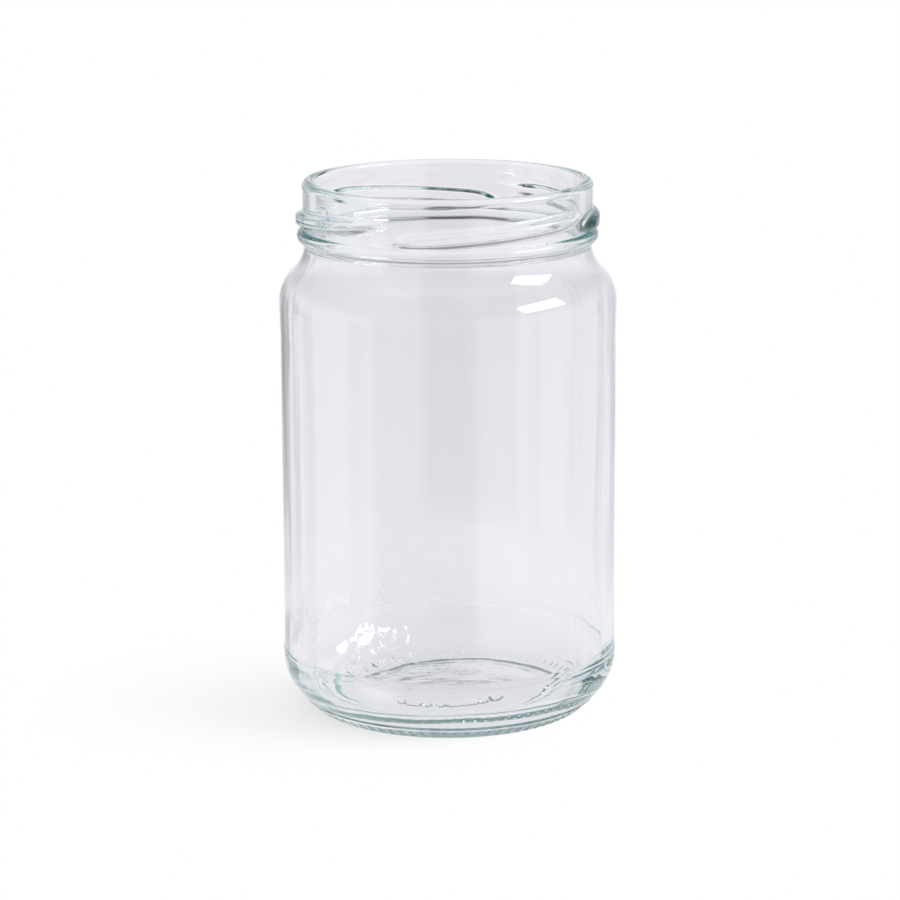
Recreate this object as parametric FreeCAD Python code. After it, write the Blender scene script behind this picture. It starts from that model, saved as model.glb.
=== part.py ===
import FreeCAD, Part
import math
import os

# An empty glass jar, pressed and blown in one piece, for a 66 mm four-lug twist-off lid.
# The glass is one solid of revolution: push-up base, rounded heel, label panel between two
# contact bands, shoulder, neck, transfer bead and rim. Four slanted lugs stand on the finish,
# and a ring of short knurls stands on the heel. Millimetres, +Z up, origin at the centre of the
# ring that the jar stands on.

# ---- Driving dimensions -------------------------------------------------------------------

# Whole jar
jar_height = 115.4
body_diameter = 72.4        # over the two contact bands
wall = 2.4                  # glass in the side wall, shoulder and neck

# Base and heel
bearing_inset = 7.75        # from the body's radius in to the outer edge of the bearing ring
bearing_width = 2.0         # flat of the bearing ring
bearing_step = 0.8          # height and width of the chamfer inside the bearing ring
push_up = 3.2               # height of the underside at the axis
base_thickness = 3.2        # glass at the axis
floor_rise = 3.2            # how far the floor domes up from its edge to the axis
heel_radius = 12.1          # outside
heel_turn = 50.0            # how far the heel turns from the wall down to the seam, degrees
seam_height = 2.9           # of the seam between bottom plate and side moulds
seam_step = 0.22            # how far the bottom plate stands out at the seam
inner_heel_radius = 9.7

# Label panel and its two contact bands
label_recess = 0.21         # depth of the panel inside the bands
heel_band_height = 0.9      # straight height of the band above the heel
heel_band_fade = 1.0        # height over which that band falls back to the panel
shoulder_band_fade = 7.0    # height over which the shoulder's foot falls back to the panel

# Shoulder and neck
neck_inset = 5.42           # from the body's radius in to the neck's
shoulder_radius = 9.0       # outside
neck_fillet_radius = 7.5    # outside

# Finish, from the neck up to the rim
neck_height = 0.6           # straight height between the neck fillet and the bead
bead_width = 3.05           # transfer bead, from root to root
bead_stand = 1.22           # height of the bead's crest over the finish wall
finish_height = 10.2        # from the bead's upper root to the rim
finish_step = 0.19          # how far the finish wall stands out from the neck
rim_swell = 0.11            # how far the rim ring stands out from the finish wall
rim_ring_height = 1.6       # height of the rim ring, whose lower edge is a mould seam
rim_outer_radius = 1.25
rim_inner_radius = 0.9

# Lugs
lug_count = 4
lug_span = 95.0             # arc from low end to high end, degrees
lug_phase = 65.0            # direction of the first low end, degrees from +X towards +Y
lug_gap = 1.0               # from the bead's upper root to the centre of a lug's low end
lug_lead = 13.2             # rise of a lug over a full turn
lug_root_width = 3.9
lug_crown_width = 1.7
lug_stand = 1.5             # height of a lug's crest over the finish wall
lug_crown_rise = 0.35       # height of the crest over the crown's edges
lug_lead_in = 18.0          # arc over which the low end comes out of the wall, degrees
lug_run_out = 32.0          # arc over which the high end fades back into it, degrees
lug_sections = 17

# Knurls and mould marks
knurl_count = 78
knurl_start = 0.5           # from the bearing ring's outer edge up the cone to a knurl
knurl_length = 2.0
knurl_radius = 0.35
knurl_stand = 0.22          # height over the cone
mark_circle = 19.5          # distance of the moulded marks from the axis
mark_width = 1.5
mark_stand = 0.35           # how far a mark stands down from the underside
mark_step = 9.0             # angle from one mark to the next, degrees
mark_lengths = (0.0, 2.0, 0.0, 0.0, 2.0, 2.0, 0.0, 1.2)   # added to a mark's width; 0 is a round pip

overlap = 0.5               # how far an added feature reaches into the glass below it


# ---- Sizes that follow --------------------------------------------------------------------

body_radius = body_diameter / 2
panel_radius = body_radius - label_recess
cavity_radius = body_radius - wall
neck_radius = body_radius - neck_inset
bore_radius = neck_radius - wall
finish_radius = neck_radius + finish_step

bearing_outer = body_radius - bearing_inset
bearing_inner = bearing_outer - bearing_width
underside_edge = bearing_inner - bearing_step

# The heel's arc runs from the wall down to the seam. The bottom plate's cone starts a step
# further out there and runs in to the bearing ring.
seam_turn = math.radians(heel_turn)
heel_centre_r = body_radius - heel_radius
heel_centre_z = seam_height + heel_radius * math.sin(seam_turn)
plate_edge_r = heel_centre_r + (heel_radius + seam_step) * math.cos(seam_turn)
plate_edge_z = heel_centre_z - (heel_radius + seam_step) * math.sin(seam_turn)
cone_slope = math.atan2(plate_edge_z, plate_edge_r - bearing_outer)

# The shoulder is two tangent arcs, which turn through the same angle.
shoulder_turn = math.acos(1 - neck_inset / (shoulder_radius + neck_fillet_radius))
shoulder_height = (shoulder_radius + neck_fillet_radius) * math.sin(shoulder_turn)

# Heights, from the rim down
bead_top = jar_height - finish_height
bead_bottom = bead_top - bead_width
neck_bottom = bead_bottom - neck_height
shoulder_bottom = neck_bottom - shoulder_height


def dome_radius(rise, edge):
    """Radius of a dome that rises this far over a circle of radius edge."""
    return (edge ** 2 + rise ** 2) / (2 * rise)


def underside(r):
    """Height of the underside at distance r from the axis."""
    radius = dome_radius(push_up - bearing_step, underside_edge)
    return push_up - radius + math.sqrt(radius ** 2 - r ** 2)


# ---- Drawing in the profile plane -----------------------------------------------------------

def point(r, z):
    return FreeCAD.Vector(r, 0, z)


def arc(centre_r, centre_z, radius, start, end):
    """Arc about a centre, from one angle to another, in degrees above the outward direction."""
    def at(angle):
        turn = math.radians(angle)
        return point(centre_r + radius * math.cos(turn), centre_z + radius * math.sin(turn))
    return Part.Arc(at(start), at((start + end) / 2), at(end)).toShape()


def arc_through(start, middle, end):
    return Part.Arc(start, middle, end).toShape()


def ends(piece):
    """First and last point of a drawn piece, which is a point or an edge."""
    if isinstance(piece, FreeCAD.Vector):
        return piece, piece
    return piece.valueAt(piece.FirstParameter), piece.valueAt(piece.LastParameter)


def outline(pieces):
    """Closed wire through points and arcs in order, with a straight edge across each gap."""
    edges = []
    for piece, following in zip(pieces, pieces[1:] + pieces[:1]):
        if not isinstance(piece, FreeCAD.Vector):
            edges.append(piece)
        start = ends(piece)[1]
        end = ends(following)[0]
        if start.distanceToPoint(end) > 1e-6:
            edges.append(Part.makeLine(start, end))
    return Part.Wire(edges)


def turned(wire):
    """Solid of revolution of a closed wire about the jar's axis."""
    return Part.Face(wire).revolve(FreeCAD.Vector(0, 0, 0), FreeCAD.Vector(0, 0, 1), 360)


def around(shape, angle):
    """Copy of a shape, turned about the jar's axis."""
    copy = shape.copy()
    copy.rotate(FreeCAD.Vector(0, 0, 0), FreeCAD.Vector(0, 0, 1), angle)
    return copy


# ---- The turned body ------------------------------------------------------------------------

def base_and_heel():
    """Outside, from the axis over the bearing ring to the top of the heel."""
    half = underside_edge / 2
    return [
        arc_through(point(0, push_up), point(half, underside(half)), point(underside_edge, bearing_step)),
        point(bearing_inner, 0),
        point(bearing_outer, 0),
        point(plate_edge_r, plate_edge_z),
        arc(heel_centre_r, heel_centre_z, heel_radius, -heel_turn, 0),
    ]


def panel_and_bands():
    """Outside, the label panel between the heel's band and the shoulder's."""
    heel_band_top = heel_centre_z + heel_band_height
    return [
        point(body_radius, heel_band_top),
        point(panel_radius, heel_band_top + heel_band_fade),
        point(panel_radius, shoulder_bottom - shoulder_band_fade),
    ]


def shoulder_and_neck():
    """Outside, two tangent arcs up to the neck."""
    turn = math.degrees(shoulder_turn)
    return [
        arc(body_radius - shoulder_radius, shoulder_bottom, shoulder_radius, 0, turn),
        arc(neck_radius + neck_fillet_radius, neck_bottom, neck_fillet_radius, 180 + turn, 180),
        point(neck_radius, bead_bottom),
    ]


def finish_and_rim():
    """Outside, the transfer bead, the finish wall and the rim's outer rounding."""
    rim_ring = finish_radius + rim_swell
    ring_bottom = jar_height - rim_ring_height
    return [
        arc_through(point(neck_radius, bead_bottom),
                    point(finish_radius + bead_stand, (bead_bottom + bead_top) / 2),
                    point(finish_radius, bead_top)),
        point(finish_radius, ring_bottom - rim_swell),
        point(rim_ring, ring_bottom),
        arc(rim_ring - rim_outer_radius, jar_height - rim_outer_radius, rim_outer_radius, 0, 90),
    ]


def bore_and_cavity():
    """Inside, from the rim's inner rounding down to the floor at the axis."""
    turn = math.degrees(shoulder_turn)
    floor = push_up + base_thickness
    corner_r = cavity_radius - inner_heel_radius
    radius = dome_radius(floor_rise, corner_r)
    # The corner's arc is tangent to the wall and, from above, to the floor's dome.
    reach = radius + inner_heel_radius
    corner_z = floor - radius + math.sqrt(reach ** 2 - corner_r ** 2)
    tilt = math.degrees(math.asin(corner_r / reach))
    return [
        arc(bore_radius + rim_inner_radius, jar_height - rim_inner_radius, rim_inner_radius, 90, 180),
        arc(neck_radius + neck_fillet_radius, neck_bottom, neck_fillet_radius + wall, 180, 180 + turn),
        arc(body_radius - shoulder_radius, shoulder_bottom, shoulder_radius - wall, turn, 0),
        arc(corner_r, corner_z, inner_heel_radius, 0, -90 - tilt),
        arc(0, floor - radius, radius, 90 - tilt, 90),
    ]


def turned_glass():
    outside = base_and_heel() + panel_and_bands() + shoulder_and_neck() + finish_and_rim()
    return turned(outline(outside + bore_and_cavity()))


# ---- Features added to it -------------------------------------------------------------------

def lug_section(angle, height, scale):
    """One section of a lug, drawn at the finish wall and turned to its direction."""
    root = lug_root_width / 2 * scale
    crown = lug_crown_width / 2 * scale
    edge = finish_radius + (lug_stand - lug_crown_rise) * scale
    crest = finish_radius + lug_stand * scale
    section = outline([
        point(finish_radius - overlap, height - root),
        arc_through(point(edge, height - crown), point(crest, height), point(edge, height + crown)),
        point(finish_radius - overlap, height + root),
    ])
    return around(section, angle)


def lug():
    """One lug, lofted along its slant from the low end, which starts at the angle 0."""
    sections = []
    for step in range(lug_sections):
        angle = lug_span * step / (lug_sections - 1)
        fade = min(angle / lug_lead_in, (lug_span - angle) / lug_run_out, 1.0)
        scale = 0.2 + 0.8 * math.sin(fade * math.pi / 2)
        height = bead_top + lug_gap + lug_lead * angle / 360
        sections.append(lug_section(angle, height, scale))
    return Part.makeLoft(sections, True, False)


def lugs():
    first = around(lug(), lug_phase)
    return [around(first, 360 * index / lug_count) for index in range(lug_count)]


def knurls():
    """Short round ribs that run up the cone, outside the bearing ring."""
    up_the_cone = FreeCAD.Vector(math.cos(cone_slope), 0, math.sin(cone_slope))
    into_the_glass = FreeCAD.Vector(-math.sin(cone_slope), 0, math.cos(cone_slope))
    start = point(bearing_outer, 0) + up_the_cone * knurl_start
    axis_start = start + into_the_glass * (knurl_radius - knurl_stand)
    first = Part.makeCylinder(knurl_radius, knurl_length, axis_start, up_the_cone)
    return [around(first, 360 * index / knurl_count) for index in range(knurl_count)]


def mould_mark(length):
    """A flat pip, or a bar across the radius, that stands down from the underside."""
    half = mark_width / 2
    bottom = underside(mark_circle) - mark_stand
    height = mark_stand + overlap
    foot = FreeCAD.Vector(mark_circle, 0, bottom)
    if length == 0:
        return Part.makeCylinder(half, height, foot)
    reach = FreeCAD.Vector(0, length / 2, 0)
    bar = Part.makeBox(mark_width, length, height, foot - reach - FreeCAD.Vector(half, 0, 0))
    caps = [Part.makeCylinder(half, height, foot + side) for side in (reach, -reach)]
    return bar.multiFuse(caps).removeSplitter()


def mould_marks():
    """A plain row of pips and bars round the front of the underside."""
    first = -90 - mark_step * (len(mark_lengths) - 1) / 2
    return [around(mould_mark(length), first + mark_step * index)
            for index, length in enumerate(mark_lengths)]


def jar():
    """All the glass as one solid."""
    features = lugs() + knurls() + mould_marks()
    return turned_glass().multiFuse(features).removeSplitter()


glass = jar()
print("solids", len(glass.Solids), "valid", glass.isValid())
print("volume cm3", round(glass.Volume / 1000, 2), "height mm", round(glass.BoundBox.ZMax, 3))

os.makedirs("parts", exist_ok=True)
glass.Solids[0].exportStep("parts/jar.step")
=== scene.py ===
# %% [markdown]
# # An empty glass jar
# This notebook dresses a food jar of clear glass, shown empty and without its lid. The real jar is
# one piece of soda-lime glass, blown and pressed in steel moulds, so it is one mesh here as well.
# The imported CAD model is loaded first, because it fixes the jar's size and place.

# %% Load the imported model
import math

import bpy
from mathutils import Matrix, Vector


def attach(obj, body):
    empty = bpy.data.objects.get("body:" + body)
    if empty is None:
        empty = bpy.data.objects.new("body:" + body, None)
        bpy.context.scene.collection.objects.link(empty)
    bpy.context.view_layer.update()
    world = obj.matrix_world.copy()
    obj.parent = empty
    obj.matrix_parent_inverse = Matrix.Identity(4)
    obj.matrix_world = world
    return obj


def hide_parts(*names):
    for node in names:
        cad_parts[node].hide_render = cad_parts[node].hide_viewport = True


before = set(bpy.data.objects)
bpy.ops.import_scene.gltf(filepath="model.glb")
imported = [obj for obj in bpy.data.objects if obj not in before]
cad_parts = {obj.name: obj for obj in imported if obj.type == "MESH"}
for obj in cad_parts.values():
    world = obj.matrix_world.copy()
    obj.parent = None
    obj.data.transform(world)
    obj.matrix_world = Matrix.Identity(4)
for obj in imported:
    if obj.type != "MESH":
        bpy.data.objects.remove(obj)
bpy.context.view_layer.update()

# %% [markdown]
# ## Sizes
# Every size of the jar is named once, in millimetres, and the same names are used in the CAD
# source. Blender works in metres, so a length is multiplied by `mm` where it goes into a mesh.

# %% Sizes of the jar
mm = 0.001

jar_height = 115.4
body_radius = 36.2
wall = 2.4
bearing_inner, bearing_outer = 26.45, 28.45    # the ring that the jar stands on
underside_edge, bearing_step = 25.65, 0.8
push_up, base_thickness, floor_rise = 3.2, 3.2, 3.2
seam_height, seam_step = 2.9, 0.22             # between the bottom plate and the side moulds
heel_radius, heel_turn = 12.1, 50.0
inner_heel_radius = 9.7
label_recess = 0.21
neck_radius = 30.78
shoulder_radius, neck_fillet_radius = 9.0, 7.5
finish_height, finish_step = 10.2, 0.19
bead_width, bead_stand = 3.05, 1.22
rim_swell, rim_ring_height = 0.11, 1.6
rim_outer_radius, rim_inner_radius = 1.25, 0.9

# %% Sizes that follow
panel_radius = body_radius - label_recess
cavity_radius = body_radius - wall
bore_radius = neck_radius - wall
finish_radius = neck_radius + finish_step
bead_top = jar_height - finish_height
bead_bottom = bead_top - bead_width
neck_bottom = bead_bottom - 0.6
shoulder_turn = math.acos(1 - (body_radius - neck_radius) / (shoulder_radius + neck_fillet_radius))
shoulder_bottom = neck_bottom - (shoulder_radius + neck_fillet_radius) * math.sin(shoulder_turn)
heel_centre_r = body_radius - heel_radius
heel_centre_z = seam_height + heel_radius * math.sin(math.radians(heel_turn))
print("mouth", round(2 * bore_radius, 2), "mm wide; shoulder starts at", round(shoulder_bottom, 2), "mm")

# %% [markdown]
# ## The section of the glass
# A glassmaker's drawing shows the jar as one half section: up the outside, over the rim and down
# the inside. It could be a Bezier curve, but the real outline is made of circular arcs and
# straight runs, so two small functions lay points along those. Points crowd in where a run
# meets a corner, which keeps the corner crisp after smooth shading.

# %% Points along runs and arcs
corner = 0.12    # mm from a corner to the next point


def run(start, end, spacing):
    """Points from start up to, but not including, end."""
    length = math.dist(start, end)
    steps = max(1, round(length / spacing))
    stops = {0.0, *(length * i / steps for i in range(1, steps))}
    if length > 4 * corner:
        stops |= {corner, length - corner}
    return [(start[0] + (end[0] - start[0]) * s / length, start[1] + (end[1] - start[1]) * s / length)
            for s in sorted(stops)]


def arc(centre, radius, first, last, spacing):
    """Points on an arc from one angle up to, but not including, another, in degrees."""
    steps = max(1, round(radius * abs(math.radians(last - first)) / spacing))
    turns = [math.radians(first + (last - first) * i / steps) for i in range(steps)]
    return [(centre[0] + radius * math.cos(t), centre[1] + radius * math.sin(t)) for t in turns]


# %% The outside, from the underside up to the bead
def dome(rise, edge):
    """Radius of a dome that rises this far over a circle of radius edge."""
    return (edge ** 2 + rise ** 2) / (2 * rise)


under_radius = dome(push_up - bearing_step, underside_edge)
under_centre = (0, push_up - under_radius)
at_r = lambda r: math.degrees(math.acos(r / under_radius))
mark_inner, mark_outer = 18.2, 20.8
plate_edge = (heel_centre_r + (heel_radius + seam_step) * math.cos(math.radians(heel_turn)),
              heel_centre_z - (heel_radius + seam_step) * math.sin(math.radians(heel_turn)))
heel_band_top = heel_centre_z + 0.9
turn = math.degrees(shoulder_turn)

outside = arc(under_centre, under_radius, 90, at_r(mark_inner), 2.2)
outside += arc(under_centre, under_radius, at_r(mark_inner), at_r(mark_outer), 0.2)
outside += arc(under_centre, under_radius, at_r(mark_outer), at_r(underside_edge), 1.2)
outside += run((underside_edge, bearing_step), (bearing_inner, 0), 0.6)
outside += run((bearing_inner, 0), (bearing_outer, 0), 1.0)
outside += run((bearing_outer, 0), plate_edge, 0.24)
outside += arc((heel_centre_r, heel_centre_z), heel_radius, -heel_turn, 0, 0.95)
outside += run((body_radius, heel_centre_z), (body_radius, heel_band_top), 0.9)
outside += run((body_radius, heel_band_top), (panel_radius, heel_band_top + 1.0), 0.5)
outside += run((panel_radius, heel_band_top + 1.0), (panel_radius, shoulder_bottom - 7.0), 6.0)
outside += run((panel_radius, shoulder_bottom - 7.0), (body_radius, shoulder_bottom), 2.0)
outside += arc((body_radius - shoulder_radius, shoulder_bottom), shoulder_radius, 0, turn, 0.75)
outside += arc((neck_radius + neck_fillet_radius, neck_bottom), neck_fillet_radius, 180 + turn, 180, 0.7)
print("rows so far:", len(outside))

# %% The bead, the finish and the rim
bead_middle = (bead_bottom + bead_top) / 2
bead_rise = bead_stand + finish_step / 2
bead_radius = (bead_rise ** 2 + (bead_width / 2) ** 2) / (2 * bead_rise)
bead_half = math.degrees(math.asin(bead_width / 2 / bead_radius))
bead_half = bead_half if bead_rise < bead_radius else 180 - bead_half
bead_centre = (neck_radius + finish_step / 2 + bead_rise - bead_radius, bead_middle)
rim_ring = finish_radius + rim_swell
ring_bottom = jar_height - rim_ring_height

outside += arc(bead_centre, bead_radius, -bead_half, bead_half, 0.36)
outside += run((finish_radius, bead_top), (finish_radius, ring_bottom - rim_swell), 0.3)
outside += run((finish_radius, ring_bottom - rim_swell), (rim_ring, ring_bottom), 0.2)
outside += arc((rim_ring - rim_outer_radius, jar_height - rim_outer_radius), rim_outer_radius, 0, 90, 0.22)
print("rows outside:", len(outside))

# %% The inside, from the rim down to the floor
corner_r = cavity_radius - inner_heel_radius
floor = push_up + base_thickness
floor_radius = dome(floor_rise, corner_r)
corner_z = floor - floor_radius + math.sqrt((floor_radius + inner_heel_radius) ** 2 - corner_r ** 2)
tilt = math.degrees(math.asin(corner_r / (floor_radius + inner_heel_radius)))

rim = arc((bore_radius + rim_inner_radius, jar_height - rim_inner_radius), rim_inner_radius, 90, 180, 0.25)
inside = run((bore_radius, jar_height - rim_inner_radius), (bore_radius, neck_bottom), 2.0)
inside += arc((neck_radius + neck_fillet_radius, neck_bottom), neck_fillet_radius + wall,
              180, 180 + turn, 0.9)
inside += arc((body_radius - shoulder_radius, shoulder_bottom), shoulder_radius - wall, turn, 0, 0.8)
inside += run((cavity_radius, shoulder_bottom), (cavity_radius, corner_z), 5.0)
inside += arc((corner_r, corner_z), inner_heel_radius, 0, -90 - tilt, 0.9)
inside += arc((0, floor - floor_radius), floor_radius, 90 - tilt, 90, 1.5) + [(0, floor)]

# %% [markdown]
# Steel shapes the outside of the foot, but only air and weight shape its inside, so the corner
# there is softer than an arc. A bevel or a spline could do that. Moving each point towards the
# middle of its two neighbours, again and again, is simpler and leaves no edge where it stops.

# %% Soften the inside corner of the foot
softenings = 14
foot = next(i for i, (r, z) in enumerate(inside) if z < corner_z - 1)
for _ in range(softenings):
    inside[foot:-1] = [tuple((a + 2 * b + c) / 4 for a, b, c in zip(*inside[i - 1:i + 2]))
                       for i in range(foot, len(inside) - 1)]
section = outside + rim + inside
print("rows in all:", len(section))

# %% [markdown]
# The section becomes a mesh of points and edges. Two attributes go with its points: `seam` says
# where the two side moulds met, and `wave` says how freely the glass moved there. Air blew the
# inside, so it is never quite even.

# %% The section as a mesh
def wire_object(name, points, edges):
    mesh = bpy.data.meshes.new(name)
    mesh.from_pydata([[v * mm for v in p] for p in points], edges, [])
    made = bpy.data.objects.new(name, mesh)
    bpy.context.scene.collection.objects.link(made)
    return made


jar = wire_object("glass_jar", [(r, 0, z) for r, z in section],
                  [(i, i + 1) for i in range(len(section) - 1)])
is_seam = [1.0 if heel_band_top < z < neck_bottom else 0.0 for r, z in outside]
is_seam += [0.0] * (len(rim) + len(inside))
waves = [0.0] * (len(outside) + len(rim)) + [min(1.0, i / 8) for i in range(len(inside))]
for name, values in (("seam", is_seam), ("wave", waves)):
    jar.data.attributes.new(name, "FLOAT", "POINT").data.foreach_set("value", values)

# %% [markdown]
# ## Marks under the base
# A mould leaves a row of small marks on the underside. These are plain pips and bars, drawn as
# guide lines that the glass will swell along.

# %% Guide lines of the marks
mark_circle, mark_step = 19.5, 9.0
mark_lengths = (0, 2, 0, 0, 2, 2, 0, 1.2)
mark_points = []
for index, length in enumerate(mark_lengths):
    middle = math.radians(-90 + mark_step * (index - (len(mark_lengths) - 1) / 2))
    half = max(length, 0.02) / 2 / mark_circle
    for angle in (middle - half, middle + half):
        height = under_centre[1] + math.sqrt(under_radius ** 2 - mark_circle ** 2)
        mark_points.append((mark_circle * math.cos(angle), mark_circle * math.sin(angle), height))
marks = wire_object("mark_guides", mark_points, [(i, i + 1) for i in range(0, len(mark_points), 2)])
print("marks under the base:", len(mark_lengths))

# %% [markdown]
# ## Geometry Nodes
# The glass follows a rule: a section turned about an axis, with ridges along guide lines. That
# could be modelled by hand or with booleans, but crossing solids would leave faces inside the
# glass, which bend light wrongly. A node tree moves the points of one closed surface instead.
# One function adds a node, sets its settings and links its inputs.

# %% Add a node
def add(tree, kind, settings=None, inputs=None):
    """New node; an input takes a value, a socket, or a node, whose first live output is used."""
    node = tree.nodes.new(kind)
    for name, value in (settings or {}).items():
        setattr(node, name, value)
    for key, value in (inputs or {}).items():
        if isinstance(value, bpy.types.Node):
            value = next(out for out in value.outputs if out.enabled)
        if isinstance(value, bpy.types.NodeSocket):
            tree.links.new(value, node.inputs[key])
        else:
            node.inputs[key].default_value = value
    return node


def new_tree(name, inputs):
    """Empty tree with named inputs and one Geometry output; returns tree, input and output node."""
    tree = bpy.data.node_groups.new(name, "GeometryNodeTree")
    for label, kind in inputs.items():
        tree.interface.new_socket(label, in_out="INPUT", socket_type="NodeSocket" + kind)
    tree.interface.new_socket("Geometry", in_out="OUTPUT", socket_type="NodeSocketGeometry")
    return tree, tree.nodes.new("NodeGroupInput").outputs, tree.nodes.new("NodeGroupOutput")


# %% [markdown]
# The first small tree repeats a guide line round the axis. Duplicate Elements gives each copy a
# number, and the number gives the angle that it is turned by.

# %% Tree: copies round the axis
around, given, out = new_tree("Copies round the axis", {"Guide": "Geometry", "Count": "Int"})
copies = add(around, "GeometryNodeDuplicateElements", {"domain": "EDGE"},
             {"Geometry": given["Guide"], "Amount": given["Count"]})
share = add(around, "ShaderNodeMath", {"operation": "DIVIDE"},
            {0: copies.outputs["Duplicate Index"], 1: given["Count"]})
angle = add(around, "ShaderNodeMath", {"operation": "MULTIPLY"}, {0: share, 1: math.tau})
here = add(around, "GeometryNodeInputPosition")
turned = add(around, "ShaderNodeVectorRotate", {"rotation_type": "Z_AXIS"}, {"Vector": here, "Angle": angle})
placed = add(around, "GeometryNodeSetPosition", {}, {"Geometry": copies, "Position": turned})
around.links.new(placed.outputs[0], out.inputs[0])

# %% [markdown]
# The second small tree raises a rounded ridge along guide lines. Geometry Proximity measures how
# far each point of the glass is from the nearest line. Inside the crown's width the glass stands
# at full height, and from there it falls smoothly to nothing at the ridge's foot. Ridges come
# from the mould, so only the outside moves, where the `wave` attribute is 0.

# %% Tree: a ridge along guide lines
ridge, given, out = new_tree("Ridge along guides", {
    "Glass": "Geometry", "Guides": "Geometry", "Foot": "Float", "Crown": "Float", "Height": "Float"})
near = add(ridge, "GeometryNodeProximity", {"target_element": "EDGES"}, {0: given["Guides"]})
lift = add(ridge, "ShaderNodeMapRange", {"interpolation_type": "SMOOTHSTEP"},
           {"Value": near.outputs["Distance"], "From Min": given["Foot"], "From Max": given["Crown"],
            "To Min": 0.0, "To Max": given["Height"]})
normal = add(ridge, "GeometryNodeInputNormal")
offset = add(ridge, "ShaderNodeVectorMath", {"operation": "SCALE"}, {0: normal, "Scale": lift})
blown = add(ridge, "GeometryNodeInputNamedAttribute", {"data_type": "FLOAT"}, {"Name": "wave"})
moulded = add(ridge, "FunctionNodeCompare", {"data_type": "FLOAT", "operation": "LESS_THAN"},
              {0: blown, 1: 0.01})
raised = add(ridge, "GeometryNodeSetPosition", {},
             {"Geometry": given["Glass"], "Selection": moulded, "Offset": offset})
ridge.links.new(raised.outputs[0], out.inputs[0])

# %% [markdown]
# ## The main tree
# A flat grid is wrapped into the jar: its rows take their place from the section's points and
# its columns from an angle. The columns crowd a little towards the knurls, where the surface has
# the finest shape. Merging the doubles closes the seam and the two poles.

# %% Tree: turn the section
knurl_count = 78
columns = 5 * knurl_count

jar_tree, given, out = new_tree("Glass jar", {
    "Section": "Geometry", "Marks": "Object", "Glass": "Material", "Columns": "Int", "Rows": "Int",
    "Knurls": "Int", "Knurl foot": "Vector", "Knurl top": "Vector", "Knurl height": "Float",
    "Lugs": "Int", "Lug phase": "Float", "Lug span": "Float", "Lug low end": "Vector",
    "Lug rise": "Float", "Lug lead-in": "Float", "Lug run-out": "Float",
    "Lug half width": "Float", "Lug height": "Float",
    "Mark height": "Float", "Seam angle": "Float", "Seam height": "Float",
    "Wave height": "Float", "Ripple height": "Float", "Seeds": "Int", "Seed size": "Float"})
seam_columns = add(jar_tree, "ShaderNodeMath", {"operation": "ADD"}, {0: given["Columns"], 1: 1.0})
grid = add(jar_tree, "GeometryNodeMeshGrid", {}, {"Vertices X": seam_columns, "Vertices Y": given["Rows"]})
index = add(jar_tree, "GeometryNodeInputIndex")
row = add(jar_tree, "ShaderNodeMath", {"operation": "MODULO"}, {0: index, 1: given["Rows"]})
ahead = add(jar_tree, "ShaderNodeMath", {"operation": "DIVIDE"}, {0: index, 1: given["Rows"]})
column = add(jar_tree, "ShaderNodeMath", {"operation": "FLOOR"}, {0: ahead})
part = add(jar_tree, "ShaderNodeMath", {"operation": "DIVIDE"}, {0: column, 1: given["Columns"]})
even = add(jar_tree, "ShaderNodeMath", {"operation": "MULTIPLY"}, {0: part, 1: math.tau})

# %% Tree: crowd the columns and place the grid
beat = add(jar_tree, "ShaderNodeMath", {"operation": "MULTIPLY"}, {0: even, 1: given["Knurls"]})
swing = add(jar_tree, "ShaderNodeMath", {"operation": "SINE"}, {0: beat})
share = add(jar_tree, "ShaderNodeMath", {"operation": "DIVIDE"}, {0: swing, 1: given["Knurls"]})
angle = add(jar_tree, "ShaderNodeMath", {"operation": "MULTIPLY_ADD"}, {0: share, 1: -0.5, 2: even})
here = add(jar_tree, "GeometryNodeInputPosition")
on_section = add(jar_tree, "GeometryNodeSampleIndex", {"data_type": "FLOAT_VECTOR", "domain": "POINT"},
                 {"Geometry": given["Section"], "Value": here, "Index": row})
wrapped = add(jar_tree, "ShaderNodeVectorRotate", {"rotation_type": "Z_AXIS"},
              {"Vector": on_section, "Angle": angle})
glass = add(jar_tree, "GeometryNodeSetPosition", {}, {"Geometry": grid, "Position": wrapped})
wave_here = add(jar_tree, "GeometryNodeInputNamedAttribute", {"data_type": "FLOAT"}, {"Name": "wave"})
wave_row = add(jar_tree, "GeometryNodeSampleIndex", {"data_type": "FLOAT", "domain": "POINT"},
               {"Geometry": given["Section"], "Value": wave_here, "Index": row})
glass = add(jar_tree, "GeometryNodeStoreNamedAttribute", {"data_type": "FLOAT", "domain": "POINT"},
            {"Geometry": glass, "Name": "wave", "Value": wave_row})
glass = add(jar_tree, "GeometryNodeMergeByDistance", {}, {"Geometry": glass, "Distance": 1e-6})

# %% [markdown]
# **Lugs** are the four slanted ridges that a twist-off lid grips. A guide runs up the finish wall
# on a shallow slant and sinks into the wall at both ends, so each lug tapers off there. The low
# end, where the lid comes in, rises over a short arc, and the high end fades over a longer one.

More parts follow.
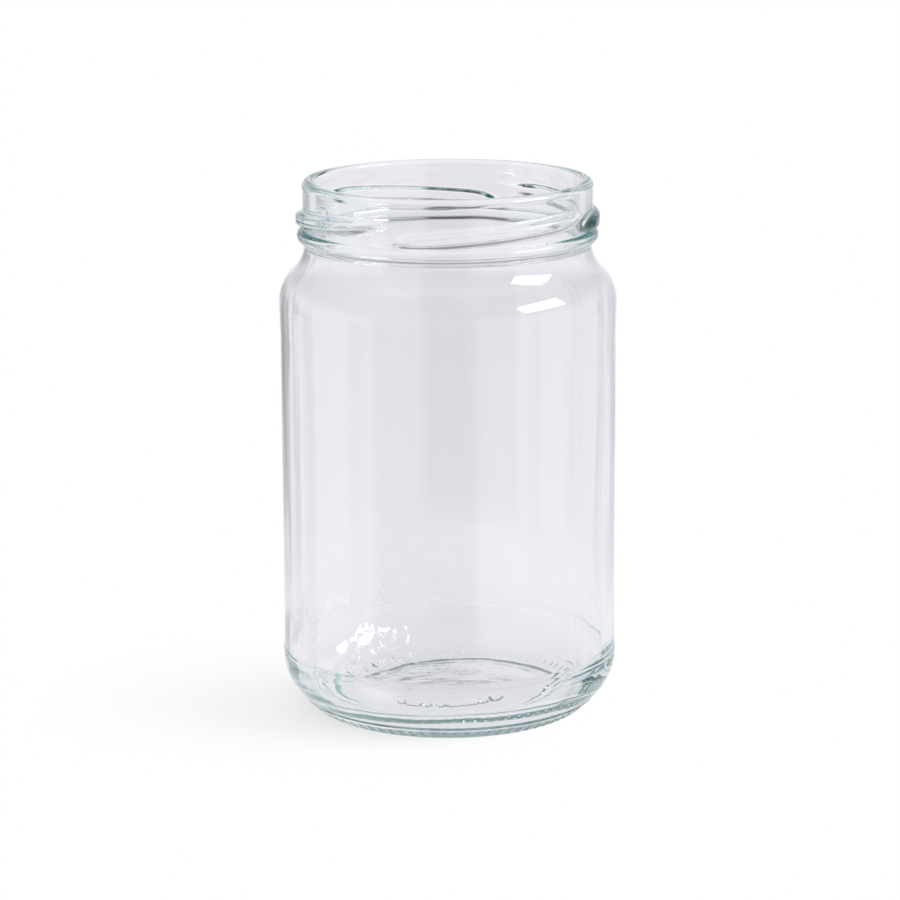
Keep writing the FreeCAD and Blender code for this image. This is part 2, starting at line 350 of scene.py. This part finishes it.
# %% Tree: lugs
stations = 25                # points on one lug's guide
lug_crown = 0.75 * mm        # half the width of a lug's flat top
line = add(jar_tree, "GeometryNodeMeshLine", {"mode": "OFFSET"}, {"Count": stations})
along = add(jar_tree, "ShaderNodeMath", {"operation": "DIVIDE"}, {0: index, 1: stations - 1})
left = add(jar_tree, "ShaderNodeMath", {"operation": "SUBTRACT"}, {0: 1.0, 1: along})
from_low = add(jar_tree, "ShaderNodeMath", {"operation": "DIVIDE"}, {0: along, 1: given["Lug lead-in"]})
from_high = add(jar_tree, "ShaderNodeMath", {"operation": "DIVIDE"}, {0: left, 1: given["Lug run-out"]})
from_end = add(jar_tree, "ShaderNodeMath", {"operation": "MINIMUM"}, {0: from_low, 1: from_high})
sink = add(jar_tree, "ShaderNodeMapRange", {"interpolation_type": "SMOOTHSTEP"},
           {"Value": from_end, "From Min": 0.0, "From Max": 1.0,
            "To Min": given["Lug half width"], "To Max": 0.0})
low = add(jar_tree, "ShaderNodeSeparateXYZ", {}, {0: given["Lug low end"]})
radius = add(jar_tree, "ShaderNodeMath", {"operation": "SUBTRACT"}, {0: low.outputs["X"], 1: sink})
height = add(jar_tree, "ShaderNodeMath", {"operation": "MULTIPLY_ADD"},
             {0: along, 1: given["Lug rise"], 2: low.outputs["Z"]})
flat = add(jar_tree, "ShaderNodeCombineXYZ", {}, {"X": radius, "Z": height})
bearing = add(jar_tree, "ShaderNodeMath", {"operation": "MULTIPLY_ADD"},
              {0: along, 1: given["Lug span"], 2: given["Lug phase"]})
slanted = add(jar_tree, "ShaderNodeVectorRotate", {"rotation_type": "Z_AXIS"},
              {"Vector": flat, "Angle": bearing})
guide = add(jar_tree, "GeometryNodeSetPosition", {}, {"Geometry": line, "Position": slanted})
guides = add(jar_tree, "GeometryNodeGroup", {"node_tree": around}, {"Guide": guide, "Count": given["Lugs"]})
glass = add(jar_tree, "GeometryNodeGroup", {"node_tree": ridge},
            {"Glass": glass, "Guides": guides, "Foot": given["Lug half width"], "Crown": lug_crown,
             "Height": given["Lug height"]})

# %% [markdown]
# **Knurls** are the short ribs round the foot that keep the hot jar from sticking to the conveyor.
# **Marks** stand on the underside. **Seams** are the faint lines where the two side moulds met:
# their guide is that part of the section itself, turned to the seam's angle. Each kind of ridge
# has its own half width at the foot and at the crown.

# %% Tree: knurls
knurl_foot, knurl_crown = 0.42 * mm, 0.05 * mm
rib = add(jar_tree, "GeometryNodeMeshLine", {"mode": "END_POINTS"},
          {"Count": 2, "Start Location": given["Knurl foot"], "Offset": given["Knurl top"]})
guides = add(jar_tree, "GeometryNodeGroup", {"node_tree": around}, {"Guide": rib, "Count": given["Knurls"]})
glass = add(jar_tree, "GeometryNodeGroup", {"node_tree": ridge},
            {"Glass": glass, "Guides": guides, "Foot": knurl_foot, "Crown": knurl_crown,
             "Height": given["Knurl height"]})

# %% Tree: marks
mark_foot, mark_crown = 1.0 * mm, 0.65 * mm
drawn = add(jar_tree, "GeometryNodeObjectInfo", {"transform_space": "ORIGINAL"}, {"Object": given["Marks"]})
glass = add(jar_tree, "GeometryNodeGroup", {"node_tree": ridge},
            {"Glass": glass, "Guides": drawn.outputs["Geometry"], "Foot": mark_foot, "Crown": mark_crown,
             "Height": given["Mark height"]})

# %% Tree: seams
seam_foot, seam_crown = 0.34 * mm, 0.02 * mm
parting = add(jar_tree, "GeometryNodeInputNamedAttribute", {"data_type": "FLOAT"}, {"Name": "seam"})
others = add(jar_tree, "FunctionNodeCompare", {"data_type": "FLOAT", "operation": "LESS_THAN"},
             {0: parting, 1: 0.5})
half_section = add(jar_tree, "GeometryNodeDeleteGeometry", {"domain": "POINT"},
                   {"Geometry": given["Section"], "Selection": others})
facing = add(jar_tree, "ShaderNodeVectorRotate", {"rotation_type": "Z_AXIS"},
             {"Vector": here, "Angle": given["Seam angle"]})
guide = add(jar_tree, "GeometryNodeSetPosition", {}, {"Geometry": half_section, "Position": facing})
guides = add(jar_tree, "GeometryNodeGroup", {"node_tree": around}, {"Guide": guide, "Count": 2})
glass = add(jar_tree, "GeometryNodeGroup", {"node_tree": ridge},
            {"Glass": glass, "Guides": guides, "Foot": seam_foot, "Crown": seam_crown,
             "Height": given["Seam height"]})

# %% [markdown]
# **Waves** on the inside give blown glass its life. A noise that is stretched upwards moves the
# wall by less than a fifth of a millimetre, which is enough to bend what shows through it.

# %% Tree: waves on the inside
stretched = add(jar_tree, "ShaderNodeVectorMath", {"operation": "MULTIPLY"}, {0: here, 1: (1.0, 1.0, 0.3)})
noise = add(jar_tree, "ShaderNodeTexNoise", {"noise_dimensions": "3D"},
            {"Vector": stretched, "Scale": 70.0, "Detail": 1.5})
centred = add(jar_tree, "ShaderNodeMath", {"operation": "SUBTRACT"}, {0: noise.outputs[0], 1: 0.5})
weight = add(jar_tree, "GeometryNodeInputNamedAttribute", {"data_type": "FLOAT"}, {"Name": "wave"})
weighted = add(jar_tree, "ShaderNodeMath", {"operation": "MULTIPLY"}, {0: centred, 1: weight})
depth = add(jar_tree, "ShaderNodeMath", {"operation": "MULTIPLY"}, {0: weighted, 1: given["Wave height"]})
normal = add(jar_tree, "GeometryNodeInputNormal")
ripple = add(jar_tree, "ShaderNodeVectorMath", {"operation": "SCALE"}, {0: normal, "Scale": depth})
glass = add(jar_tree, "GeometryNodeSetPosition", {}, {"Geometry": glass, "Offset": ripple})

# %% [markdown]
# **Ripples** cover the floor, where the glass was coolest when the air pressed it down. A finer
# noise moves it, at full strength in the middle and fading up the wall. In the foot the inside
# also **leans**: one side is thinner than the other, as it is in most blown jars. Sculpting
# would do both, but noise and a ramp can be changed later with a number.

# %% Tree: ripples on the floor
ripples_end, ripples_full = 36 * mm, 20 * mm         # distance from the middle of the underside
ripples = add(jar_tree, "ShaderNodeTexNoise", {"noise_dimensions": "3D"},
              {"Vector": here, "Scale": 170.0, "Detail": 2.0, "Distortion": 0.6})
ripples = add(jar_tree, "ShaderNodeMath", {"operation": "SUBTRACT"}, {0: ripples.outputs[0], 1: 0.5})
reach = add(jar_tree, "ShaderNodeVectorMath", {"operation": "LENGTH"}, {0: here})
on_floor = add(jar_tree, "ShaderNodeMapRange", {"interpolation_type": "SMOOTHSTEP"},
               {"Value": reach.outputs["Value"], "From Min": ripples_end, "From Max": ripples_full,
                "To Min": 0.0, "To Max": given["Ripple height"]})
rippled = add(jar_tree, "ShaderNodeMath", {"operation": "MULTIPLY"}, {0: ripples, 1: on_floor})

# %% Tree: the inside leans in the foot
lean_starts, lean_full = 20 * mm, 7 * mm             # heights between which it sets in
lean_left, lean_right = -1.1 * mm, 0.1 * mm          # less glass is negative, more is positive
lean_reach = 30 * mm                                 # how far out to either side it is full
xyz = add(jar_tree, "ShaderNodeSeparateXYZ", {}, {0: here})
low_down = add(jar_tree, "ShaderNodeMapRange", {"interpolation_type": "SMOOTHSTEP"},
               {"Value": xyz.outputs["Z"], "From Min": lean_starts, "From Max": lean_full,
                "To Min": 0.0, "To Max": 1.0})
lean = add(jar_tree, "ShaderNodeMapRange", {},
           {"Value": xyz.outputs["X"], "From Min": -lean_reach, "From Max": lean_reach,
            "To Min": lean_left, "To Max": lean_right})
leaning = add(jar_tree, "ShaderNodeMath", {"operation": "MULTIPLY_ADD"}, {0: low_down, 1: lean, 2: rippled})
leaning = add(jar_tree, "ShaderNodeMath", {"operation": "MULTIPLY"}, {0: leaning, 1: weight})
shift = add(jar_tree, "ShaderNodeVectorMath", {"operation": "SCALE"}, {0: normal, "Scale": leaning})
glass = add(jar_tree, "GeometryNodeSetPosition", {}, {"Geometry": glass, "Offset": shift})

# %% [markdown]
# **Seeds** are the glassmaker's word for tiny bubbles. They are hollow, so their faces look into
# the bubble. A disc, a little off the middle, scatters the points that they sit on, and a bowed
# height keeps them halfway between the underside and the floor.

# %% Tree: where the seeds sit
seed_disc, seed_side = 13 * mm, (-8 * mm, 6 * mm, 0)
seed_middle, seed_bow, seed_spread = 4.7 * mm, -4.7, 0.6 * mm
disc = add(jar_tree, "GeometryNodeMeshCircle", {"fill_type": "TRIANGLE_FAN"},
           {"Vertices": 32, "Radius": seed_disc})
disc = add(jar_tree, "GeometryNodeTransform", {}, {"Geometry": disc, "Translation": seed_side})
density = add(jar_tree, "ShaderNodeMath", {"operation": "DIVIDE"},
              {0: given["Seeds"], 1: math.pi * seed_disc ** 2})
scatter = add(jar_tree, "GeometryNodeDistributePointsOnFaces", {"distribute_method": "RANDOM"},
              {"Mesh": disc, "Density": density, "Seed": 3})
reach_squared = add(jar_tree, "ShaderNodeMath", {"operation": "POWER"}, {0: reach.outputs["Value"], 1: 2.0})
middle = add(jar_tree, "ShaderNodeMath", {"operation": "MULTIPLY_ADD"},
             {0: reach_squared, 1: seed_bow, 2: seed_middle})
spread = add(jar_tree, "FunctionNodeRandomValue", {"data_type": "FLOAT"},
             {"Min": -seed_spread, "Max": seed_spread, "Seed": 5})
level = add(jar_tree, "ShaderNodeMath", {"operation": "ADD"}, {0: middle, 1: spread})
lifted = add(jar_tree, "ShaderNodeCombineXYZ", {}, {"Z": level})
spots = add(jar_tree, "GeometryNodeSetPosition", {}, {"Geometry": scatter, "Offset": lifted})

# %% Tree: a squat bubble on each point
ball = add(jar_tree, "GeometryNodeMeshIcoSphere", {}, {"Radius": 1.0, "Subdivisions": 2})
size = add(jar_tree, "FunctionNodeRandomValue", {"data_type": "FLOAT"}, {"Min": 0.35, "Max": 1.0, "Seed": 7})
sized = add(jar_tree, "ShaderNodeMath", {"operation": "MULTIPLY"}, {0: size, 1: given["Seed size"]})
squat = add(jar_tree, "ShaderNodeVectorMath", {"operation": "SCALE"}, {0: (1.3, 1.0, 0.6), "Scale": sized})
seeds = add(jar_tree, "GeometryNodeInstanceOnPoints", {}, {"Points": spots, "Instance": ball, "Scale": squat})
real_seeds = add(jar_tree, "GeometryNodeRealizeInstances", {}, {"Geometry": seeds})
hollow = add(jar_tree, "GeometryNodeFlipFaces", {}, {"Mesh": real_seeds})

# %% Tree: join, smooth and give the material
both = add(jar_tree, "GeometryNodeJoinGeometry")
jar_tree.links.new(glass.outputs[0], both.inputs[0])
jar_tree.links.new(hollow.outputs[0], both.inputs[0])
smooth = add(jar_tree, "GeometryNodeSetShadeSmooth", {}, {"Geometry": both})
real = add(jar_tree, "GeometryNodeRealizeInstances", {}, {"Geometry": smooth})
finished = add(jar_tree, "GeometryNodeSetMaterial", {}, {"Geometry": real, "Material": given["Glass"]})
jar_tree.links.new(finished.outputs[0], out.inputs[0])

# %% [markdown]
# ## Glass
# Jars are flint glass: soda-lime glass that is cleared of colour as far as is cheap. Its index of
# refraction is 1.52, and it has no roughness. Iron leaves a faint green that shows only where
# light goes a long way through the glass, so the colour is in the volume and the surface stays
# clear. The steel is colder than the glass and leaves a faint **chill** in its skin, drawn out
# upwards, and one side of the foot is **hammered**. A bump node gives both: they bend what
# shines on the glass and are too shallow for the mesh.

# %% Colour from hex
def colour(code):
    """sRGB hex to the linear colour that a shader takes."""
    def linear(v):
        return v / 12.92 if v <= 0.04045 else ((v + 0.055) / 1.055) ** 2.4
    return (*(linear(int(code[i:i + 2], 16) / 255) for i in (0, 2, 4)), 1.0)


# %% Flint glass: the skin
flint = bpy.data.materials.new("flint_glass")
flint.use_nodes = True
nodes = flint.node_tree
nodes.nodes.clear()
place = add(nodes, "ShaderNodeTexCoord")
drawn_up = add(nodes, "ShaderNodeMapping", {}, {"Vector": place.outputs["Object"], "Scale": (1.0, 1.0, 0.25)})
chill = add(nodes, "ShaderNodeTexNoise", {}, {"Vector": drawn_up, "Scale": 110.0, "Detail": 1.0})
patch_middle = (-12 * mm, 20 * mm, 8 * mm)
patch_edge, patch_core, patch_depth = 19 * mm, 9 * mm, 34.0      # depth is in chills
from_patch = add(nodes, "ShaderNodeVectorMath", {"operation": "DISTANCE"},
                 {0: place.outputs["Object"], 1: patch_middle})
patch = add(nodes, "ShaderNodeMapRange", {"interpolation_type": "SMOOTHSTEP"},
            {"Value": from_patch.outputs["Value"], "From Min": patch_edge, "From Max": patch_core,
             "To Min": 0.0, "To Max": patch_depth})
hammered = add(nodes, "ShaderNodeTexNoise", {},
               {"Vector": place.outputs["Object"], "Scale": 340.0, "Detail": 1.0})    # dents 3 mm apart
relief = add(nodes, "ShaderNodeMath", {"operation": "MULTIPLY_ADD"},
             {0: patch, 1: hammered.outputs[0], 2: chill.outputs[0]})
bump = add(nodes, "ShaderNodeBump", {}, {"Height": relief, "Strength": 0.5, "Distance": 0.04 * mm})

# %% Flint glass: the surface and the volume
surface = add(nodes, "ShaderNodeBsdfPrincipled", {}, {
    "Base Color": colour("FFFFFF"), "Transmission Weight": 1.0, "Roughness": 0.0, "IOR": 1.52,
    "Normal": bump})
tint = add(nodes, "ShaderNodeVolumeAbsorption", {}, {"Color": colour("BCE5E0"), "Density": 24.0})
add(nodes, "ShaderNodeOutputMaterial", {}, {"Surface": surface, "Volume": tint})

# %% [markdown]
# ## Run the tree
# The inputs are set by their socket identifiers before the object is first evaluated. The result
# is copied to a plain mesh.

# %% Knurl and lug places
cone = math.atan2(plate_edge[1], plate_edge[0] - bearing_outer)
knurl_start, knurl_length = 0.5, 2.0
on_cone = lambda s: ((bearing_outer + s * math.cos(cone)) * mm, 0, s * math.sin(cone) * mm)
lug_lead, lug_span, lug_gap, lug_phase = 13.2, 95.0, 1.0, 65.0
lug_lead_in, lug_run_out = 18.0, 32.0
values = {
    "Marks": marks, "Glass": flint, "Columns": columns, "Rows": len(section),
    "Knurls": knurl_count, "Knurl foot": on_cone(knurl_start),
    "Knurl top": on_cone(knurl_start + knurl_length),
    "Knurl height": 0.22 * mm,
    "Lugs": 4, "Lug phase": math.radians(lug_phase), "Lug span": math.radians(lug_span),
    "Lug low end": (finish_radius * mm, 0, (bead_top + lug_gap) * mm),
    "Lug rise": lug_lead * lug_span / 360 * mm, "Lug lead-in": lug_lead_in / lug_span,
    "Lug run-out": lug_run_out / lug_span, "Lug half width": 1.95 * mm, "Lug height": 1.5 * mm,
    "Mark height": 0.65 * mm, "Seam angle": -9 * math.tau / knurl_count, "Seam height": 0.05 * mm,
    "Wave height": 0.35 * mm, "Ripple height": 0.5 * mm, "Seeds": 60, "Seed size": 0.34 * mm}
modifier = jar.modifiers.new("Glass jar", "NODES")
modifier.node_group = jar_tree
for item in jar_tree.interface.items_tree:
    if item.in_out == "INPUT" and item.name in values:
        modifier[item.identifier] = values[item.name]

# %% Turn the result into a plain mesh
depsgraph = bpy.context.evaluated_depsgraph_get()
jar_mesh = bpy.data.meshes.new_from_object(jar.evaluated_get(depsgraph))
jar_mesh.name = "glass_jar"
jar.modifiers.clear()
jar.data = jar_mesh
bpy.data.objects.remove(marks)
print("glass: vertices", len(jar_mesh.vertices), "faces", len(jar_mesh.polygons))

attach(jar, "root")
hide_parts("jar")

# %% [markdown]
# ## Table and room
# Clear glass is drawn by what shows in its edges, so the room needs some darks. The camera sees
# pure white all round. In the glass the room is a pale sweep up to the horizon, with a few
# darker gaps between its panels, a dim ceiling, and a dark side in front, where no panel stands.
# Dark cards round the glass could do this too, but they would show in other views. The shading
# is a node group that turns a direction into a level of light.

# %% Group: how light the room is in a direction
shading = bpy.data.node_groups.new("Room shade", "ShaderNodeTree")
shading.interface.new_socket("Direction", in_out="INPUT", socket_type="NodeSocketVector")
shading.interface.new_socket("Shade", in_out="OUTPUT", socket_type="NodeSocketFloat")
way, out = shading.nodes.new("NodeGroupInput").outputs[0], shading.nodes.new("NodeGroupOutput")
unit = add(shading, "ShaderNodeVectorMath", {"operation": "NORMALIZE"}, {0: way})
axes = add(shading, "ShaderNodeSeparateXYZ", {}, {0: unit})
up = axes.outputs["Z"]
sweep = add(shading, "ShaderNodeMapRange", {"interpolation_type": "SMOOTHSTEP"},
            {"Value": up, "From Min": -0.35, "From Max": -0.15, "To Min": 1.03, "To Max": 0.93})
ceiling = add(shading, "ShaderNodeMapRange", {"interpolation_type": "SMOOTHSTEP"},
              {"Value": up, "From Min": 0.1, "From Max": 0.45, "To Min": 1.0, "To Max": 0.4})
level = add(shading, "ShaderNodeMath", {"operation": "MULTIPLY"}, {0: sweep, 1: ceiling})

# %% Group: gaps between the panels
panel_count = 8.0
heading = add(shading, "ShaderNodeMath", {"operation": "ARCTAN2"},
              {0: axes.outputs["Y"], 1: axes.outputs["X"]})
beat = add(shading, "ShaderNodeMath", {"operation": "MULTIPLY"}, {0: heading, 1: panel_count})
panels = add(shading, "ShaderNodeMath", {"operation": "COSINE"}, {0: beat})
gap = add(shading, "ShaderNodeMapRange", {"interpolation_type": "SMOOTHSTEP"},
          {"Value": panels, "From Min": -0.2, "From Max": -0.9, "To Min": 0.0, "To Max": 0.55})

# %% Group: the gaps are deepest at the back left, and fade upwards and downwards
dim_side = add(shading, "ShaderNodeVectorMath", {"operation": "DOT_PRODUCT"},
               {0: unit, 1: (-0.92, 0.38, 0.0)})
depth = add(shading, "ShaderNodeMapRange", {},
            {"Value": dim_side.outputs["Value"], "From Min": -0.3, "From Max": 0.7,
             "To Min": 0.2, "To Max": 1.0})
low = add(shading, "ShaderNodeMapRange", {"interpolation_type": "SMOOTHSTEP"},
          {"Value": up, "From Min": -0.33, "From Max": -0.2, "To Min": 0.0, "To Max": 1.0})
depth = add(shading, "ShaderNodeMath", {"operation": "MULTIPLY"}, {0: depth, 1: low})
high = add(shading, "ShaderNodeMapRange", {"interpolation_type": "SMOOTHSTEP"},
           {"Value": up, "From Min": -0.12, "From Max": 0.06, "To Min": 1.0, "To Max": 0.35})
depth = add(shading, "ShaderNodeMath", {"operation": "MULTIPLY"}, {0: depth, 1: high})
cut = add(shading, "ShaderNodeMath", {"operation": "MULTIPLY"}, {0: gap, 1: depth})
kept = add(shading, "ShaderNodeMath", {"operation": "SUBTRACT"}, {0: 1.0, 1: cut})
level = add(shading, "ShaderNodeMath", {"operation": "MULTIPLY"}, {0: level, 1: kept})

# %% Group: the dark side in front
flat = add(shading, "ShaderNodeVectorMath", {"operation": "MULTIPLY"}, {0: unit, 1: (1.0, 1.0, 0.0)})
flat = add(shading, "ShaderNodeVectorMath", {"operation": "NORMALIZE"}, {0: flat})
front = add(shading, "ShaderNodeVectorMath", {"operation": "DOT_PRODUCT"}, {0: flat, 1: (-0.31, -0.95, 0.0)})
dark = add(shading, "ShaderNodeMapRange", {"interpolation_type": "SMOOTHSTEP"},
           {"Value": front.outputs["Value"], "From Min": 0.74, "From Max": 0.86,
            "To Min": 0.0, "To Max": 0.97})
above = add(shading, "ShaderNodeMapRange", {"interpolation_type": "SMOOTHSTEP"},
            {"Value": up, "From Min": -0.72, "From Max": -0.55, "To Min": 0.0, "To Max": 1.0})
below = add(shading, "ShaderNodeMapRange", {"interpolation_type": "SMOOTHSTEP"},
            {"Value": up, "From Min": 0.1, "From Max": 0.4, "To Min": 1.0, "To Max": 0.8})
band = add(shading, "ShaderNodeMath", {"operation": "MULTIPLY"}, {0: above, 1: below})
cut = add(shading, "ShaderNodeMath", {"operation": "MULTIPLY"}, {0: dark, 1: band})
kept = add(shading, "ShaderNodeMath", {"operation": "SUBTRACT"}, {0: 1.0, 1: cut})
level = add(shading, "ShaderNodeMath", {"operation": "MULTIPLY"}, {0: level, 1: kept})
shading.links.new(level.outputs[0], out.inputs[0])

# %% [markdown]
# A ray that has passed glass or glanced off it meets the shaded room, and every other ray meets
# plain white. Light Path tells them apart. Rays that light the table count as the others, so
# the table under the glass stays light.

# %% Rays that look through glass
room_tone, plain_white = colour("F7F3FA"), colour("FFFFFF")


def through_glass(tree, path):
    """1 for a ray that the camera sends through or off the glass, 0 for all others."""
    bent = add(tree, "ShaderNodeMath", {"operation": "MAXIMUM"},
               {0: path.outputs["Is Glossy Ray"], 1: path.outputs["Is Transmission Ray"]})
    first = add(tree, "ShaderNodeMath", {"operation": "LESS_THAN"},
                {0: path.outputs["Diffuse Depth"], 1: 0.5})
    return add(tree, "ShaderNodeMath", {"operation": "MULTIPLY"}, {0: bent, 1: first})


# %% White room
room = bpy.data.worlds.new("white_room")
bpy.context.scene.world = room
room.use_nodes = True
nodes = room.node_tree
nodes.nodes.clear()
way = add(nodes, "ShaderNodeTexCoord")
shade = add(nodes, "ShaderNodeGroup", {"node_tree": shading}, {"Direction": way.outputs["Generated"]})
bent = through_glass(nodes, add(nodes, "ShaderNodeLightPath"))
strength = add(nodes, "ShaderNodeMix", {"data_type": "FLOAT"}, {0: bent, 2: 1.0, 3: shade})
tone = add(nodes, "ShaderNodeMix", {"data_type": "RGBA"}, {0: bent, 6: plain_white, 7: room_tone})
sky = add(nodes, "ShaderNodeBackground", {}, {"Color": tone.outputs[2], "Strength": strength})
add(nodes, "ShaderNodeOutputWorld", {}, {"Surface": sky})

# %% [markdown]
# The table is a disc of matt white paper that takes the jar's shadow. Three things keep its edge
# out of sight. Rays through the glass see it glow evenly, a painted light that also stands in for
# the light that comes through the jar onto the paper under it, and further out they pass through
# it to the room behind. The camera sees the paper most where the shadow lies, to the left, and
# away from there it turns to plain white, which matches the white behind it.

# %% White table: the paper
bpy.ops.mesh.primitive_circle_add(vertices=96, radius=0.16, fill_type="NGON")
table = bpy.context.object
table.name = "table_top"
paper = bpy.data.materials.new("white_table")
paper.use_nodes = True
nodes = paper.node_tree
nodes.nodes.clear()
matt = add(nodes, "ShaderNodeBsdfDiffuse", {}, {"Color": colour("F4F4F4")})
path = add(nodes, "ShaderNodeLightPath")
bent = through_glass(nodes, path)
# Painted light: rays through the glass see the paper as an even glow, in place of the light that reaches it
# through the jar.
glow = add(nodes, "ShaderNodeEmission", {}, {"Color": room_tone, "Strength": 0.97})
lit = add(nodes, "ShaderNodeMath", {"operation": "MULTIPLY"}, {0: bent, 1: 0.9})
near = add(nodes, "ShaderNodeMixShader", {}, {0: lit, 1: matt, 2: glow})

# %% White table: rays through the glass pass its rim
fade_starts, fade_ends = 75 * mm, 140 * mm
clear = add(nodes, "ShaderNodeBsdfTransparent")
place = add(nodes, "ShaderNodeTexCoord")
reach = add(nodes, "ShaderNodeVectorMath", {"operation": "LENGTH"}, {0: place.outputs["Object"]})
fade = add(nodes, "ShaderNodeMapRange", {"interpolation_type": "SMOOTHSTEP"},
           {"Value": reach.outputs["Value"], "From Min": fade_starts, "From Max": fade_ends,
            "To Min": 0.0, "To Max": 1.0})
share = add(nodes, "ShaderNodeMath", {"operation": "MULTIPLY"}, {0: bent, 1: fade})

# %% White table: the camera sees the paper where the shadow lies
shadow_middle, shadow_reach, whitened = (-35 * mm, -8 * mm, 0), 65 * mm, 0.55
spot = add(nodes, "ShaderNodeVectorMath", {"operation": "DISTANCE"},
           {0: place.outputs["Object"], 1: shadow_middle})
soft = add(nodes, "ShaderNodeMapRange", {"interpolation_type": "SMOOTHSTEP"},
           {"Value": spot.outputs["Value"], "From Min": 0.0, "From Max": shadow_reach,
            "To Min": whitened, "To Max": 1.0})
plain = add(nodes, "ShaderNodeMath", {"operation": "MULTIPLY"}, {0: path.outputs["Is Camera Ray"], 1: soft})
white = add(nodes, "ShaderNodeEmission", {}, {"Color": plain_white, "Strength": 1.0})
seen = add(nodes, "ShaderNodeMixShader", {}, {0: plain, 1: near, 2: white})
top = add(nodes, "ShaderNodeMixShader", {}, {0: share, 1: seen, 2: clear})
add(nodes, "ShaderNodeOutputMaterial", {}, {"Surface": top})
table.data.materials.append(paper)

# %% [markdown]
# Light runs round inside a thick glass foot as in a light guide, so it needs many bounces. A
# reflection inside the glass counts as a glossy one, so that limit is raised too. Otherwise
# the foot and the bead turn black where the light is lost.

# %% Bounces
bounces = 48
bpy.context.scene.cycles.max_bounces = bounces
bpy.context.scene.cycles.transmission_bounces = bounces
bpy.context.scene.cycles.glossy_bounces = bounces

# %% [markdown]
# ## Lamp and camera
# One softbox stands to the right, a little in front and above. It puts the highlights on the
# shoulder and the soft shadow to the left.

# %% Softbox
def aim(thing, place, target):
    thing.location = place
    thing.rotation_euler = (Vector(target) - Vector(place)).to_track_quat("-Z", "Y").to_euler()


lamp_data = bpy.data.lights.new("softbox", "AREA")
lamp_data.shape = "RECTANGLE"
lamp_data.size, lamp_data.size_y = 0.5, 0.26
lamp_data.energy = 3.2
lamp = bpy.data.objects.new("softbox", lamp_data)
bpy.context.scene.collection.objects.link(lamp)
bearing, rise, away = math.radians(-16), math.radians(31), 0.9
aim(lamp, (away * math.cos(rise) * math.cos(bearing), away * math.cos(rise) * math.sin(bearing),
           0.09 + away * math.sin(rise)), (0, 0, 0.09))

# %% Camera
camera_data = bpy.data.cameras.new("camera")
camera = bpy.data.objects.new("camera", camera_data)
bpy.context.scene.collection.objects.link(camera)
camera_data.lens, camera_data.sensor_width = 140.0, 36.0
camera_data.clip_start, camera_data.clip_end = 0.05, 20.0
pitch, distance, target_height = math.radians(12.47), 0.7565, 0.0611
roll = Matrix.Rotation(math.radians(-0.26), 4, "Z")
tip = Matrix.Rotation(math.pi / 2 - pitch, 4, "X")
camera.matrix_world = Matrix.Translation(
    (0, -distance * math.cos(pitch), target_height + distance * math.sin(pitch))) @ tip @ roll
camera_data.shift_x, camera_data.shift_y = 0.0017, -0.0249
bpy.context.scene.camera = camera
bpy.context.scene.view_settings.view_transform = "Standard"
